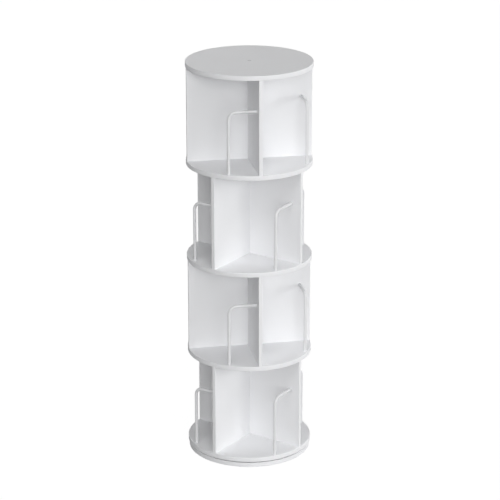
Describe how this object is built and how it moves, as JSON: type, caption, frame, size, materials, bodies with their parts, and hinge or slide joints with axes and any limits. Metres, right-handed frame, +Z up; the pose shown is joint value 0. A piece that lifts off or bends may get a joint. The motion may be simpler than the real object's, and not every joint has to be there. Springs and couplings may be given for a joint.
{
  "type": "revolving bookcase",
  "caption": "Round revolving bookcase tower: quarter-round bays in stacked tiers, every second tier turned, with a bent rod in each bay, on a turntable base.",
  "frame": {"origin": "on the floor, at the middle of the base, on the axis of the turntable", "axes": "+Z up along the turntable's axis; +X and +Y along the crossed dividers of the top tier"},
  "size_m": [0.4, 0.4, 1.296],
  "materials": {
    "board_paint": "satin white lacquer on fibreboard",
    "rod_paint": "satin white powder coat on steel",
    "race_alloy": "turned",
    "cage_plastic": "moulded",
    "screw_steel": "zinc plated",
    "dowel_wood": "plain beech",
    "pad_rubber": "matt",
    "cap_plastic": "satin moulded"
  },
  "bodies": {
    "base": {"base_disc": "board_paint", "floor_pads": "pad_rubber", "lower_race": "race_alloy", "lower_race_screws": "screw_steel"},
    "cage": {"ball_cage": "cage_plastic", "bearing_balls": "screw_steel"},
    "tower": {"upper_race": "race_alloy", "upper_race_screws": "screw_steel", "shelf_disc_1": "board_paint", "shelf_disc_2": "board_paint", "shelf_disc_3": "board_paint", "shelf_disc_4": "board_paint", "top_disc": "board_paint", "tier_1_divider_a": "board_paint", "tier_1_divider_b": "board_paint", "tier_2_divider_a": "board_paint", "tier_2_divider_b": "board_paint", "tier_3_divider_a": "board_paint", "tier_3_divider_b": "board_paint", "tier_4_divider_a": "board_paint", "tier_4_divider_b": "board_paint", "tier_1_rod_1": "rod_paint", "tier_1_rod_2": "rod_paint", "tier_1_rod_3": "rod_paint", "tier_1_rod_4": "rod_paint", "tier_2_rod_1": "rod_paint", "tier_2_rod_2": "rod_paint", "tier_2_rod_3": "rod_paint", "tier_2_rod_4": "rod_paint", "tier_3_rod_1": "rod_paint", "tier_3_rod_2": "rod_paint", "tier_3_rod_3": "rod_paint", "tier_3_rod_4": "rod_paint", "tier_4_rod_1": "rod_paint", "tier_4_rod_2": "rod_paint", "tier_4_rod_3": "rod_paint", "tier_4_rod_4": "rod_paint", "divider_screws": "screw_steel", "centre_screws": "screw_steel", "dowels": "dowel_wood", "top_cap": "cap_plastic"}
  },
  "joints": [
    {"name": "tower_spin", "type": "hinge", "parent": "base", "child": "tower", "pos_m": [0, 0, 0.019], "axis": [0, 0, 1], "continuous": true},
    {"name": "cage_spin", "type": "hinge", "parent": "base", "child": "cage", "pos_m": [0, 0, 0.019], "axis": [0, 0, 1], "continuous": true}
  ],
  "couplings": [
    {"joint": "cage_spin", "follows": "tower_spin", "ratio": 0.495}
  ]
}
